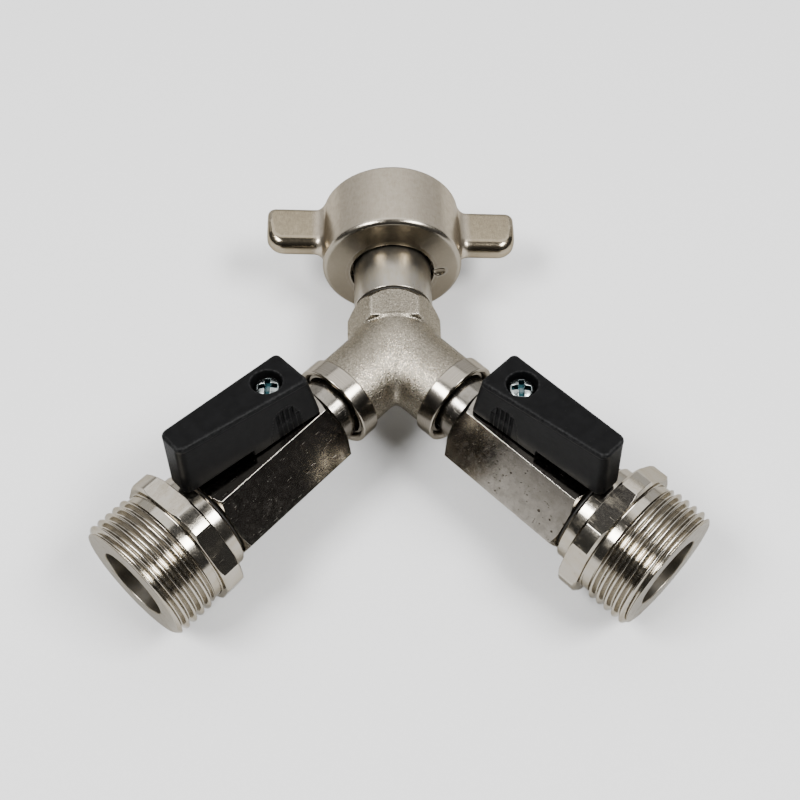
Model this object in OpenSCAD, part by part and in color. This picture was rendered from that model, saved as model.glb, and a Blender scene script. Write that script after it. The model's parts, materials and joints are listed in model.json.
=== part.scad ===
// Two-way drinks line splitter: a wing nut inlet, a cast Y and two lever ball valves
// with threaded outlets. Millimetres. +Y leaves the inlet, +Z is up along the levers' stems.
// The origin is the centre of the inlet washer's sealing face.

/* [Y body] */
// Angle between the two outlet branches
branch_spread = 87; // [80:1:110]
// Distance from the inlet washer's face to the point where the three ports meet
inlet_reach = 30.5; // [29.5:0.5:36]
// Radius of a cast branch
branch_r = 8.4; // [8.2:0.1:9]
// Radius of the turned collar on each branch
collar_r = 9.3; // [9:0.1:10]
// Distance from the ports' crossing to the end of a collar
collar_end = 19.6; // [19:0.1:22]
// Width across flats of the inlet socket's hexagon
inlet_hex_af = 17.8; // [16:0.1:20]

/* [Wing nut] */
// Radius of the nut's round body
nut_r = 15.8; // [15.5:0.1:18]
// Length of the nut along its axis
nut_len = 17.9; // [17:0.1:20]
// Span from wing tip to wing tip
wing_span = 57.2; // [50:0.1:70]
// Thickness of a wing
wing_thick = 5.4; // [3:0.1:6]
// How far the nut is turned from level
nut_turn = 3; // [0:1:30]

/* [Pipe threads] */
// Major radius of the G 3/4 threads
thread_major_r = 13.22; // [13.1:0.01:13.3]
// Minor radius of the G 3/4 threads
thread_minor_r = 12.06; // [12:0.01:12.2]
// Radius at which the valves' own G 3/8 threads are drawn
joint_r = 7.9; // [7.5:0.1:8.3]

/* [Ball valves] */
// Width across flats of a valve's hexagon body
valve_af = 19.8; // [19:0.1:22]
// Distance from the ports' crossing to a valve's stem
stem_s = 33.7; // [33:0.1:34]
// Distance from the ports' crossing to the end of a valve's body
valve_end = 54.3; // [54:0.1:58]
// Radius of the ball
ball_r = 6.75; // [6.5:0.05:6.9]
// Radius of the waterway through the ball
way_r = 4; // [3:0.1:4.2]
// How far the left valve is screwed round past upright
left_roll = 6; // [0:1:10]
// How far the left lever stands from fully open
left_turn = 5; // [0:1:45]

/* [Levers] */
// Length of a lever from its stem to its tip
lever_reach = 23.6; // [18:0.1:24]
// Length of a lever behind its stem
lever_heel = 7.7; // [7:0.1:9]
// Width of a lever at its heel
lever_heel_w = 10.2; // [10:0.1:11]
// Width of a lever at its tip
lever_tip_w = 6.3; // [5:0.1:8]
// Height of a lever's top above the port axis, at the heel
lever_heel_z = 21.4; // [21.1:0.1:22]
// Height of a lever's top above the port axis, at the tip
lever_tip_z = 24.5; // [22:0.1:25]

/* [Outlet adapters] */
// Radius of the round shoulder next to the valve
shoulder_r = 10.8; // [10:0.1:11]
// Width across flats of the adapter's hexagon flange
flange_af = 27; // [26:0.1:28]
// Radius to which the flange's corners are turned down
flange_corner_r = 14.4; // [13.8:0.1:15]
// Distance from the ports' crossing to an outlet's end face
outlet_end = 73.7; // [73:0.1:76]
// Radius of an outlet's bore
outlet_bore_r = 7.55; // [7:0.05:8]
// How far the left adapter's flange is turned
left_flange_turn = 3; // [0:1:59]
// How far the right adapter's flange is turned
right_flange_turn = 17; // [0:1:59]

/* [Hidden] */
$fn = 96;
hull_fn = 32;
e = 0.01;
running_gap = 0.05;
joint_gap = 0.02;
loose_gap = 0.1;
half_spread = branch_spread / 2;

// Along the inlet, from the ports' crossing
hub_r = branch_r + 0.2;
hex_start = 3;
hex_end = 10.6;
inlet_hex_corner_r = 0.56 * inlet_hex_af;
tail_seal_t = 0.5;
tail_start = hex_end + tail_seal_t;
tail_r = 8.65;
tail_bore_r = 6;
tail_spigot_r = 6.4;
inlet_way_r = 4.8;
nut_mouth = inlet_reach + 9.4;
nut_near = nut_mouth - nut_len;
nut_web = 2.5;
nut_hole_r = 9.3;
undercut_r = 13.35;
flange_t = 1.9;
flange_back = nut_near + nut_web + loose_gap;
tail_flange_r = 11.8;
washer_t = 2;
washer_r = 12.7;
washer_hole_r = 7.5;
nut_edge_r = 1;
nut_face_r = 10.5;
nut_dish = 1;
mouth_chamfer = 0.8;
wing_near = 11.9;
wing_far = 0.9;
wing_near_r = 4;
wing_far_r = 1.9;
wing_edge = 1.8;
wing_root = 12;

// Along a valve, from the ports' crossing
collar_start = 15.5;
socket_floor = 10.5;
branch_way_r = 5;
collar_edge = 0.8;
socket_chamfer = 0.7;
male_start = 11;
male_end = 18.6;
neck_r = 7;
hex_valve_start = 24;
cavity_r = 7.2;
cavity_start = 26.4;
seat_in = 29.8;
seat_out = 2 * stem_s - seat_in;
seat_outer_r = cavity_r - joint_gap;
retainer_start = seat_out + 3.4;
retainer_t = 3.6;
female_start = 44.6;

// Up a stem, from the port axis
tang_z = 5.1;
slot_z = 5;
tang_w = 2.4;
stem_collar_z = 7.25;
stem_collar_top = 8.15;
stem_washer_z = 8.2;
stem_washer_top = 8.7;
stem_collar_r = 3.6;
stem_pocket_r = 3.7;
stem_r = 2.95;
stem_hole_r = stem_r + running_gap;
o_ring_z = [9.9, 11.7];
o_ring_r = 0.45;
boss_r = 4;
boss_top = 13.5;
stop_z = 12.6;
stop_half = 18;
stop_play = 4;
stop_depth = 0.6;
drive_w = 4;
drive_top = 17;
screw_r = 1.5;
screw_seat_z = 19.3;
screw_head_r = 2.55;
screw_head_t = 1.8;
screw_recess_r = 3;
screw_end_z = 11;

// Lever
lever_base_z = 10.3;
lever_step_x = 8.4;
lever_step_z = 11.9;
lever_draft = 1.4;
lever_narrow = 0.1;
lever_round = 1;
hollow_start = 6.4;
hollow_end = 20.2;
hollow_heel_w = 5.6;
hollow_tip_w = 2.7;
hollow_h = 7;
boss_gap = 0.3;
boss_gap_z = 0.2;
drive_gap = 0.1;
stop_gap = 0.2;

// Along an adapter
seal_t = 0.6;
shoulder_start = valve_end + seal_t;
flange_start = 58.2;
flange_end = 62.5;
relief_r = 12.5;
thread_start = 64.7;
thread_chamfer = 0.75;
spigot_start = 46;
spigot_way_r = 5.5;
bore_floor = 63;

nickel = "lightgray";
polished = "silver";
black = "dimgray";
sealing = "ivory";
rubber = "darkslategray";

// ---- Frames ----

// Puts the ports' crossing in its place, with the port axes in the plane z = 0
module at_crossing() {
    translate([0, -inlet_reach, 0]) children();
}

// Local +X runs out along the inlet
module along_inlet() {
    at_crossing() rotate([0, 0, 90]) children();
}

// Local +X runs out along one outlet, local +Z up its stem
module along_outlet(right, roll = 0) {
    at_crossing() rotate([0, 0, (right ? half_spread : -half_spread) - 90])
        rotate([roll, 0, 0]) children();
}

// A valve's frame, rolled about its own axis as it is screwed in
module along_valve(right) {
    along_outlet(right, right ? 0 : left_roll) children();
}

// Centred on a valve's stem and turned with its lever
module with_lever(right) {
    along_valve(right) translate([stem_s, 0, 0])
        rotate([0, 0, right ? 0 : -left_turn]) children();
}

// ---- Shapes ----

// A solid turned about local X from [station, radius] points
module turned(profile) {
    rotate([0, 90, 0]) rotate_extrude() polygon([for (p = profile) [p[1], p[0]]]);
}

// A round bar along local X, between two stations
module bar(from, to, r) {
    translate([from, 0, 0]) rotate([0, 90, 0]) cylinder(h = to - from, r = r);
}

// A hexagon bar along local X with one flat up, between two stations
module hex_bar(from, to, af, turn = 0) {
    translate([from, 0, 0]) rotate([turn + 30, 0, 0]) rotate([0, 90, 0])
        cylinder(h = to - from, r = af / sqrt(3), $fn = 6);
}

// A hexagon bar whose corners are turned down at its ends, by [length, depth] at each
module bevelled_hex(from, to, af, corner_r, start, finish, turn = 0) {
    intersection() {
        hex_bar(from, to, af, turn);
        turned([
            [from, 0], [from, corner_r - start[1]], [from + start[0], corner_r],
            [to - finish[0], corner_r], [to, corner_r - finish[1]], [to, 0]
        ]);
    }
}

// A washer along local X
module ring(from, to, outer_r, inner_r) {
    difference() {
        bar(from, to, outer_r);
        bar(from - 1, to + 1, inner_r);
    }
}

// Points of an arc about [x, y], from angle a to angle b
function arc(x, y, r, a, b, steps = 8) =
    [for (i = [0:steps]) [x + r * cos(a + (b - a) * i / steps), y + r * sin(a + (b - a) * i / steps)]];

// A slice of a ring about Z, from angle a to angle b
module sector(inner_r, outer_r, a, b, z0, z1) {
    translate([0, 0, z0]) linear_extrude(z1 - z0)
        polygon(concat(arc(0, 0, outer_r, a, b, 16), arc(0, 0, inner_r, b, a, 16)));
}

// ---- Inlet ----

module y_body() {
    color(nickel) difference() {
        union() {
            at_crossing() sphere(hub_r);
            along_inlet() bar(0, hex_start, branch_r);
            along_inlet() bevelled_hex(
                hex_start, hex_end, inlet_hex_af, inlet_hex_corner_r, [0.6, 0.6], [2.8, 1.05]
            );
            for (right = [false, true])
                along_outlet(right) {
                    bar(0, collar_start, branch_r);
                    turned([
                        [collar_start, 0], [collar_start, collar_r - collar_edge / 2],
                        [collar_start + collar_edge / 2, collar_r], [collar_end - collar_edge, collar_r],
                        [collar_end - collar_edge * 0.3, collar_r - collar_edge * 0.3],
                        [collar_end, collar_r - collar_edge], [collar_end, 0]
                    ]);
                }
        }
        along_inlet() bar(0, hex_end + 1, inlet_way_r);
        along_inlet() bar(hex_start, hex_end + 1, tail_spigot_r + joint_gap);
        for (right = [false, true])
            along_outlet(right) {
                bar(0, socket_floor + 1, branch_way_r);
                bar(socket_floor, collar_end + 1, joint_r + joint_gap);
                turned([
                    [collar_end - socket_chamfer, 0], [collar_end - socket_chamfer, joint_r],
                    [collar_end + e, joint_r + socket_chamfer + e], [collar_end + e, 0]
                ]);
            }
    }
}

module tailpiece() {
    color(polished) along_inlet() difference() {
        union() {
            bar(hex_start + 0.5, tail_start, tail_spigot_r);
            bar(tail_start, flange_back, tail_r);
            bar(flange_back, flange_back + flange_t, tail_flange_r);
        }
        bar(hex_start, tail_start + 1, inlet_way_r);
        bar(tail_start + 1, flange_back + flange_t + 1, tail_bore_r);
    }
}

module tail_seal() {
    color(rubber) along_inlet() ring(hex_end, tail_start, tail_r - 0.45, tail_spigot_r + joint_gap);
}

module inlet_washer() {
    color(rubber) along_inlet() ring(inlet_reach - washer_t, inlet_reach, washer_r, washer_hole_r);
}

// One wing: a flat bar with rounded edges, rounder at its near corner
module wing() {
    tip = wing_span / 2;
    hull() {
        translate([nut_mouth - wing_near + wing_near_r, tip - wing_near_r, 0]) wing_corner(wing_near_r);
        translate([nut_mouth - wing_far - wing_far_r, tip - wing_far_r, 0]) wing_corner(wing_far_r);
        translate([nut_mouth - wing_near + wing_near_r, wing_root, 0]) wing_corner(wing_near_r);
        translate([nut_mouth - wing_far - wing_far_r, wing_root, 0]) wing_corner(wing_far_r);
    }
}

// A round corner of a wing, with its rim rounded over
module wing_corner(r) {
    rotate_extrude($fn = hull_fn) polygon(concat(
        [[0, -wing_thick / 2]],
        arc(r - wing_edge, wing_edge - wing_thick / 2, wing_edge, -90, 0, 4),
        arc(r - wing_edge, wing_thick / 2 - wing_edge, wing_edge, 0, 90, 4),
        [[0, wing_thick / 2]]
    ));
}

module wing_nut() {
    body = concat(
        [[nut_near, 0], [nut_near, nut_face_r]],
        arc(nut_near + nut_dish + nut_edge_r, nut_r - nut_edge_r, nut_edge_r, 166, 90),
        arc(nut_mouth - nut_edge_r / 2, nut_r - nut_edge_r / 2, nut_edge_r / 2, 90, 0, 4),
        [[nut_mouth, 0]]
    );
    color(nickel) along_inlet() rotate([nut_turn, 0, 0]) difference() {
        union() {
            turned(body);
            wing();
            mirror([0, 1, 0]) wing();
        }
        bar(nut_near - 1, nut_mouth, nut_hole_r);
        bar(nut_near + nut_web, inlet_reach, undercut_r);
        bar(inlet_reach - e, nut_mouth + 1, thread_minor_r);
        turned([
            [nut_mouth - mouth_chamfer, 0], [nut_mouth - mouth_chamfer, thread_minor_r],
            [nut_mouth + e, thread_minor_r + mouth_chamfer + e], [nut_mouth + e, 0]
        ]);
    }
}

// ---- Valve ----

module valve_body(right) {
    color(polished) along_valve(right) difference() {
        union() {
            bar(male_start, male_end, joint_r);
            bar(male_end, hex_valve_start, neck_r);
            bevelled_hex(hex_valve_start, valve_end, valve_af, valve_af / sqrt(3), [1.7, 2.2], [0.8, 1.3]);
            translate([stem_s, 0, 0]) cylinder(h = boss_top, r = boss_r);
        }
        bar(male_start - 1, cavity_start + 1, way_r);
        bar(cavity_start, female_start, cavity_r);
        bar(female_start - e, valve_end + 1, joint_r + joint_gap);
        translate([stem_s, 0, 0]) {
            cylinder(h = boss_top + 1, r = stem_hole_r);
            cylinder(h = stem_washer_top, r = stem_pocket_r);
            sector(
                boss_r - stop_depth, boss_r + 1, -90 - stop_half - stop_play, stop_half + stop_play,
                stop_z, boss_top + 1
            );
        }
    }
}

// A seat ring between two stations, hollowed to the ball
module seat(right, from, to) {
    color(sealing) along_valve(right) difference() {
        ring(from, to, seat_outer_r, way_r + joint_gap);
        translate([stem_s, 0, 0]) sphere(ball_r + running_gap);
    }
}

module inner_seat(right) {
    seat(right, cavity_start, seat_in);
}

module outer_seat(right) {
    seat(right, seat_out, retainer_start);
}

// The ring that holds the seats, with two slots for its key
module seat_retainer(right) {
    color(polished) along_valve(right) difference() {
        ring(retainer_start, retainer_start + retainer_t, seat_outer_r, way_r + 0.6);
        translate([retainer_start + retainer_t, 0, 0])
            cube([2, 2.2, 3 * seat_outer_r], center = true);
    }
}

module ball(right) {
    color(polished) with_lever(right) difference() {
        sphere(ball_r);
        bar(-ball_r - 1, ball_r + 1, way_r);
        translate([-ball_r, -tang_w / 2 - joint_gap, slot_z])
            cube([2 * ball_r, tang_w + 2 * joint_gap, ball_r]);
    }
}

module stem(right) {
    color(polished) with_lever(right) difference() {
        union() {
            intersection() {
                translate([-stem_r, -tang_w / 2, tang_z]) cube([2 * stem_r, tang_w, stem_collar_z]);
                cylinder(h = stem_collar_top, r = stem_r);
            }
            translate([0, 0, stem_collar_z])
                cylinder(h = stem_collar_top - stem_collar_z, r = stem_collar_r);
            translate([0, 0, stem_collar_z]) cylinder(h = boss_top - stem_collar_z, r = stem_r);
            translate([-drive_w / 2, -drive_w / 2, boss_top - e])
                cube([drive_w, drive_w, drive_top - boss_top + e]);
        }
        for (z = o_ring_z)
            translate([0, 0, z - o_ring_r - joint_gap]) difference() {
                cylinder(h = 2 * (o_ring_r + joint_gap), r = stem_r + 1);
                translate([0, 0, -1]) cylinder(h = 3, r = stem_r - 2 * o_ring_r - joint_gap);
            }
        translate([0, 0, screw_end_z]) cylinder(h = drive_top, r = screw_r + joint_gap);
    }
}

module stem_washer(right) {
    color(sealing) along_valve(right) translate([stem_s, 0, stem_washer_z]) difference() {
        cylinder(h = stem_washer_top - stem_washer_z, r = stem_pocket_r - joint_gap);
        translate([0, 0, -1]) cylinder(h = 3, r = stem_hole_r);
    }
}

module stem_o_rings(right) {
    color(rubber) with_lever(right)
        for (z = o_ring_z)
            translate([0, 0, z]) rotate_extrude() translate([stem_r - o_ring_r, 0]) circle(o_ring_r);
}

// ---- Lever ----

// The tapered outside of a lever, with round edges
module lever_shape() {
    heel = lever_heel - lever_round;
    reach = lever_reach - lever_round;
    heel_y = lever_heel_w / 2 - lever_round;
    tip_y = lever_tip_w / 2 - lever_round;
    hull()
        for (side = [-1, 1]) {
            translate([-heel, side * heel_y, lever_base_z]) cylinder(h = e, r = lever_round, $fn = hull_fn);
            translate([reach, side * tip_y, lever_base_z]) cylinder(h = e, r = lever_round, $fn = hull_fn);
            translate([lever_draft - heel, side * (heel_y - lever_narrow), lever_heel_z - lever_round])
                sphere(lever_round, $fn = hull_fn);
            translate([reach - lever_draft, side * (tip_y - lever_narrow), lever_tip_z - lever_round])
                sphere(lever_round, $fn = hull_fn);
        }
}

module lever(right) {
    color(black) with_lever(right) difference() {
        union() {
            difference() {
                lever_shape();
                // room for the boss under the heel
                translate([0, 0, lever_base_z - 1])
                    cylinder(h = boss_top + boss_gap_z - lever_base_z + 1, r = boss_r + boss_gap);
                // the underside steps up past the skirt
                translate([lever_step_x, -lever_heel_w, lever_base_z - 1])
                    cube([lever_reach, 2 * lever_heel_w, lever_step_z - lever_base_z + 1]);
                // the hollow under the arm
                translate([0, 0, lever_step_z - e]) linear_extrude(hollow_h) polygon([
                    [hollow_start, -hollow_heel_w / 2], [hollow_end, -hollow_tip_w / 2],
                    [hollow_end, hollow_tip_w / 2], [hollow_start, hollow_heel_w / 2]
                ]);
            }
            // the stop that runs in the boss's notch
            sector(
                boss_r + stop_gap - stop_depth, boss_r + stop_depth, -stop_half, stop_half,
                stop_z + stop_gap, boss_top + 1
            );
        }
        translate([0, 0, boss_top + drive_gap])
            cube([drive_w + drive_gap, drive_w + drive_gap, 2 * (drive_top - boss_top)], center = true);
        translate([0, 0, boss_top]) cylinder(h = 10, r = screw_r + stop_gap);
        translate([0, 0, screw_seat_z]) cylinder(h = 5, r = screw_recess_r);
    }
}

module lever_screw(right) {
    cross_w = 0.8;
    cross_l = 3.2;
    color(polished) with_lever(right) difference() {
        union() {
            translate([0, 0, screw_end_z + 0.5]) cylinder(h = screw_seat_z - screw_end_z, r = screw_r);
            translate([0, 0, screw_seat_z]) rotate_extrude() polygon(concat(
                [[0, 0], [screw_head_r, 0]],
                arc(screw_head_r - 0.8, screw_head_t - 0.8, 0.8, 0, 90, 4),
                [[0, screw_head_t]]
            ));
        }
        for (turn = [0, 90])
            rotate([0, 0, turn]) translate([-cross_l / 2, -cross_w / 2, screw_seat_z + 0.6])
                cube([cross_l, cross_w, screw_head_t]);
    }
}

// ---- Outlet ----

module outlet_seal(right) {
    color(rubber) along_valve(right) ring(valve_end, shoulder_start, joint_r + 1.4, joint_r + joint_gap);
}

module outlet_adapter(right) {
    color(polished) along_valve(right) difference() {
        union() {
            bar(spigot_start, shoulder_start, joint_r);
            turned([
                [shoulder_start, 0], [shoulder_start, shoulder_r - 0.4],
                [shoulder_start + 0.4, shoulder_r], [flange_start, shoulder_r], [flange_start, 0]
            ]);
            bevelled_hex(
                flange_start, flange_end, flange_af, flange_corner_r, [0.5, 0.5], [0.5, 0.5],
                right ? right_flange_turn : left_flange_turn
            );
            bar(flange_end, thread_start, relief_r);
            turned([
                [thread_start, 0], [thread_start, thread_major_r - 0.3],
                [thread_start + 0.3, thread_major_r],
                [outlet_end - thread_chamfer, thread_major_r],
                [outlet_end, thread_major_r - thread_chamfer], [outlet_end, 0]
            ]);
        }
        bar(spigot_start - 1, outlet_end, spigot_way_r);
        bar(bore_floor, outlet_end + 1, outlet_bore_r);
    }
}

y_body();
tailpiece();
tail_seal();
inlet_washer();
wing_nut();
valve_body(false);  // left_valve_body
inner_seat(false);  // left_inner_seat
outer_seat(false);  // left_outer_seat
seat_retainer(false);  // left_seat_retainer
ball(false);  // left_ball
stem(false);  // left_stem
stem_washer(false);  // left_stem_washer
stem_o_rings(false);  // left_stem_o_rings
lever(false);  // left_lever
lever_screw(false);  // left_lever_screw
outlet_seal(false);  // left_outlet_seal
outlet_adapter(false);  // left_outlet_adapter
valve_body(true);  // right_valve_body
inner_seat(true);  // right_inner_seat
outer_seat(true);  // right_outer_seat
seat_retainer(true);  // right_seat_retainer
ball(true);  // right_ball
stem(true);  // right_stem
stem_washer(true);  // right_stem_washer
stem_o_rings(true);  // right_stem_o_rings
lever(true);  // right_lever
lever_screw(true);  // right_lever_screw
outlet_seal(true);  // right_outlet_seal
outlet_adapter(true);  // right_outlet_adapter
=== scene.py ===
import json
import math

import bmesh
import bpy
import numpy as np
from mathutils import Matrix, Vector


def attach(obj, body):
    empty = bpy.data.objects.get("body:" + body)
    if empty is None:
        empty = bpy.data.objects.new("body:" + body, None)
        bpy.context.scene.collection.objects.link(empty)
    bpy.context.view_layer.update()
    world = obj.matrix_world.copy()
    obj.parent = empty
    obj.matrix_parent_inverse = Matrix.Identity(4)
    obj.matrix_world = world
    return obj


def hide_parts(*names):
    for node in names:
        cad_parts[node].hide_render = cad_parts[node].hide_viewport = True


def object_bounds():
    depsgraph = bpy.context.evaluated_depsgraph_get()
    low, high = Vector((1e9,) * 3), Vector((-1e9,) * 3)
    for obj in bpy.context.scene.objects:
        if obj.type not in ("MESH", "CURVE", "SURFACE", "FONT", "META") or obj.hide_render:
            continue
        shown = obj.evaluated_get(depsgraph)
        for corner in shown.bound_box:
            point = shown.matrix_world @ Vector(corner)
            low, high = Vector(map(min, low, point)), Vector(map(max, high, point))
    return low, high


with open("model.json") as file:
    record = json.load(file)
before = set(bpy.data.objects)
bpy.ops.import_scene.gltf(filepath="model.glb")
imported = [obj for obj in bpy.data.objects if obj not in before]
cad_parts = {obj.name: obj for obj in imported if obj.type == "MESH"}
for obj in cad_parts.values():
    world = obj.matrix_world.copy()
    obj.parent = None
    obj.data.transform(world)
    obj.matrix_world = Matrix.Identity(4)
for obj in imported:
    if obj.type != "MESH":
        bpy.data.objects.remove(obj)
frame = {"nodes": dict(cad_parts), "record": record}  # frame["nodes"], ["record"]
cad_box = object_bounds()

# Sizes are millimetres in local frames, as in the part's own source, and become metres in each mesh.
MM = 0.001
SIDES = (("left", False), ("right", True))
HALF_SPREAD = 43.5  # degrees between the inlet's axis and an outlet's
INLET_REACH = 30.5
STEM_S = 33.7
LEFT_ROLL = 6
LEFT_TURN = 5
NUT_TURN = 3
HEX_START, HEX_END = 3.0, 10.6
INLET_WAY_R = 4.8
SPIGOT_R = 6.4
JOINT_R = 7.9
JOINT_GAP = 0.02
MOUTH_R = JOINT_R + JOINT_GAP


# ---- Places ----

def turn(axis, degrees):
    return np.array(Matrix.Rotation(math.radians(degrees), 4, axis))


def shift(x, y=0.0):
    return np.array(Matrix.Translation((x, y, 0)))


CROSSING = shift(0, -INLET_REACH)
INLET = CROSSING @ turn("Z", 90)


def outlet_place(right):
    """Local +X runs out along one outlet; the left valve is rolled a little, as it screwed home."""
    spread = HALF_SPREAD if right else -HALF_SPREAD
    return CROSSING @ turn("Z", spread - 90) @ turn("X", 0 if right else LEFT_ROLL)


def lever_place(right):
    return outlet_place(right) @ shift(STEM_S) @ turn("Z", 0 if right else -LEFT_TURN)


# ---- Mesh making ----

ROUND_STEPS = 3


def ramp(v, low, high):
    """0 at low and 1 at high, held beyond them."""
    return np.clip((v - low) / (high - low), 0, 1)


def from_x(points):
    """How far each point is from local X."""
    return np.hypot(points[:, 1], points[:, 2])


def both(a, b, r=0.0):
    """The overlap of two distance fields, with a round edge of radius r.

    A distance field is negative inside. Where one slopes too fast, a factor just under 1 corrects it.
    """
    if not np.any(r):
        return np.maximum(a, b)
    corner = np.hypot(np.maximum(a + r, 0), np.maximum(b + r, 0))
    return np.minimum(-r, np.maximum(a, b)) + corner


def either(a, b, r=0.0):
    return -both(-a, -b, r)


def less(a, b, r=0.0):
    return both(a, -b, r)


def melt(fields, sharpness):
    """The union of several distance fields, flowing into one another; sharpness in 1/mm."""
    low = np.minimum.reduce(fields)
    return low - np.log(sum(np.exp(-sharpness * (f - low)) for f in fields)) / sharpness


def slab(v, low, high):
    return np.maximum(low - v, v - high)


def polygon(u, v, corners, r=0.0):
    """The inside of a convex polygon whose corners run anticlockwise in the u, v plane."""
    field = None
    for (u0, v0), (u1, v1) in zip(corners, corners[1:] + corners[:1]):
        length = math.hypot(u1 - u0, v1 - v0)
        side = ((u - u0) * (v1 - v0) - (v - v0) * (u1 - u0)) / length
        field = side if field is None else both(field, side, r)
    return field


def net(field, low, high, step):
    """Points, quads and normals of the closed surface where field is 0.

    Each grid cell that the surface crosses gets one point, first at the mean of its crossed edges and then
    moved onto the surface, and each crossed edge gets the quad that joins the four cells around it.
    """
    count = [int(math.ceil((h - l) / step)) + 1 for l, h in zip(low, high)]
    axes = [l + step * np.arange(n) for l, n in zip(low, count)]
    values = np.empty(count)
    thick = 16  # a few planes at a time, to save memory
    for i in range(0, count[0], thick):
        values[i:i + thick] = field(*np.meshgrid(axes[0][i:i + thick], axes[1], axes[2], indexing="ij"))
    inside = values < 0
    corners = [(a, b, c) for a in (0, 1) for b in (0, 1) for c in (0, 1)]
    cells = tuple(n - 1 for n in count)

    def at(array, corner):
        return array[tuple(slice(o, o + n) for o, n in zip(corner, cells))]

    full = sum(at(inside, c).astype(np.uint8) for c in corners)
    mixed = np.argwhere((full > 0) & (full < 8))
    number = np.full(cells, -1)
    number[tuple(mixed.T)] = np.arange(len(mixed))
    total = np.zeros((len(mixed), 3))
    crossings = np.zeros(len(mixed))
    for c in corners:
        for axis in range(3):
            if c[axis]:
                continue
            d = tuple(1 if k == axis else o for k, o in enumerate(c))
            va = values[tuple((mixed + c).T)]
            vb = values[tuple((mixed + d).T)]
            hit = (va < 0) != (vb < 0)
            share = np.where(hit, va / np.where(hit, va - vb, 1), 0)
            point = mixed + np.array(c, float)
            point[:, axis] += share
            total += point * hit[:, None]
            crossings += hit
    points = np.array(low) + step * total / crossings[:, None]

    def slope(p, h):
        g = np.empty_like(p)
        for k in range(3):
            d = np.zeros(3)
            d[k] = h
            g[:, k] = (field(*(p + d).T) - field(*(p - d).T)) / (2 * h)
        return g

    for _ in range(3):
        g = slope(points, 0.02)
        move = field(*points.T)[:, None] * g / np.maximum((g * g).sum(1), 0.2)[:, None]
        size = np.linalg.norm(move, axis=1, keepdims=True)
        points -= move * np.minimum(1, 0.4 * step / np.maximum(size, 1e-9))
    normals = slope(points, 0.05)
    normals /= np.maximum(np.linalg.norm(normals, axis=1, keepdims=True), 1e-9)
    quads = []
    for axis in range(3):
        o1, o2 = (axis + 1) % 3, (axis + 2) % 3
        here = np.moveaxis(inside, axis, 0)
        change = np.argwhere(here[:-1] != here[1:])
        change = change[(change[:, 1:] > 0).all(1)]
        order = [axis] + [k for k in range(3) if k != axis]
        edges = np.empty_like(change)
        for place, k in enumerate(order):
            edges[:, k] = change[:, place]
        edges = edges[(edges < np.array(cells))[:, [o1, o2]].all(1)]
        ring = []
        for da, db in ((1, 1), (0, 1), (0, 0), (1, 0)):
            cell = edges.copy()
            cell[:, o1] -= da
            cell[:, o2] -= db
            ring.append(number[tuple(cell.T)])
        ring = np.stack(ring, 1)
        flipped = ~inside[tuple(edges.T)]
        ring[flipped] = ring[flipped][:, ::-1]
        quads.append(ring)
    return points, np.concatenate(quads), normals


def bent(field, points, h):
    """How sharply the surface turns at each point, in 1/mm: above 0 on outside edges."""
    total = -6 * field(*points.T)
    for k in range(3):
        d = np.zeros(3)
        d[k] = h
        total += field(*(points + d).T) + field(*(points - d).T)
    return total / (h * h)


def worn(field, points, h, low, high):
    """1 on outside edges that turn more sharply than high, and 0 below low, in 1/mm."""
    return ramp(bent(field, points, h), low, high)


def rounded(loops, radii, steps=ROUND_STEPS):
    """Closed profiles, as (angles, corners, 2), with every corner rounded by its radius."""
    back = np.roll(loops, 1, 1) - loops
    ahead = np.roll(loops, -1, 1) - loops
    far_back = np.linalg.norm(back, axis=2)
    far_ahead = np.linalg.norm(ahead, axis=2)
    back = back / np.maximum(far_back, 1e-9)[..., None]
    ahead = ahead / np.maximum(far_ahead, 1e-9)[..., None]
    bend = np.clip(-(back * ahead).sum(2), -0.999, 1)
    reach = np.array(radii)[None] * np.sqrt((1 - bend) / (1 + bend))
    reach = np.minimum(reach, 0.45 * np.minimum(far_back, far_ahead))[..., None]
    start, end = loops + back * reach, loops + ahead * reach
    shares = np.linspace(0, 1, steps + 1)
    arc = [(1 - t) ** 2 * start + 2 * t * (1 - t) * loops + t * t * end for t in shares]
    return np.stack(arc, 2).reshape(loops.shape[0], -1, 2)


def columns(angles, loops):
    """A closed ring mesh: one profile of [station, radius] points at each angle about local X."""
    a, k = loops.shape[:2]
    s, r = loops[..., 0], loops[..., 1]
    points = np.stack([s, r * np.cos(angles)[:, None], r * np.sin(angles)[:, None]], 2).reshape(-1, 3)
    i, j = np.meshgrid(np.arange(a), np.arange(k), indexing="ij")
    i2, j2 = (i + 1) % a, (j + 1) % k
    quads = np.stack([i * k + j, i * k + j2, i2 * k + j2, i2 * k + j], 2).reshape(-1, 4)
    return points, quads


def even_angles(count):
    return np.arange(count) * 2 * math.pi / count


def lathe(corners, count=144):
    """The points and quads of a turned ring about local X, from [station, radius, round] corners."""
    corners = np.array(corners, float)
    loops = rounded(np.repeat(corners[None, :, :2], count, 0), corners[:, 2])
    return columns(even_angles(count), loops)


def weighted_normals(points, quads):
    """Vertex normals weighted by area, so that flats stay flat beside their small round edges."""
    p = points[quads]
    face = np.cross(p[:, 2] - p[:, 0], p[:, 3] - p[:, 1])
    normals = np.zeros_like(points)
    for k in range(4):
        np.add.at(normals, quads[:, k], face)
    return normals / np.maximum(np.linalg.norm(normals, axis=1, keepdims=True), 1e-12)


def outward(points, quads):
    """The same quads, turned so that the enclosed volume is above 0."""
    p = points[quads]
    volume = np.einsum("ij,ij->i", p[:, 0], np.cross(p[:, 1], p[:, 2])).sum()
    volume += np.einsum("ij,ij->i", p[:, 0], np.cross(p[:, 2], p[:, 3])).sum()
    return quads if volume > 0 else quads[:, ::-1]


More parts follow.
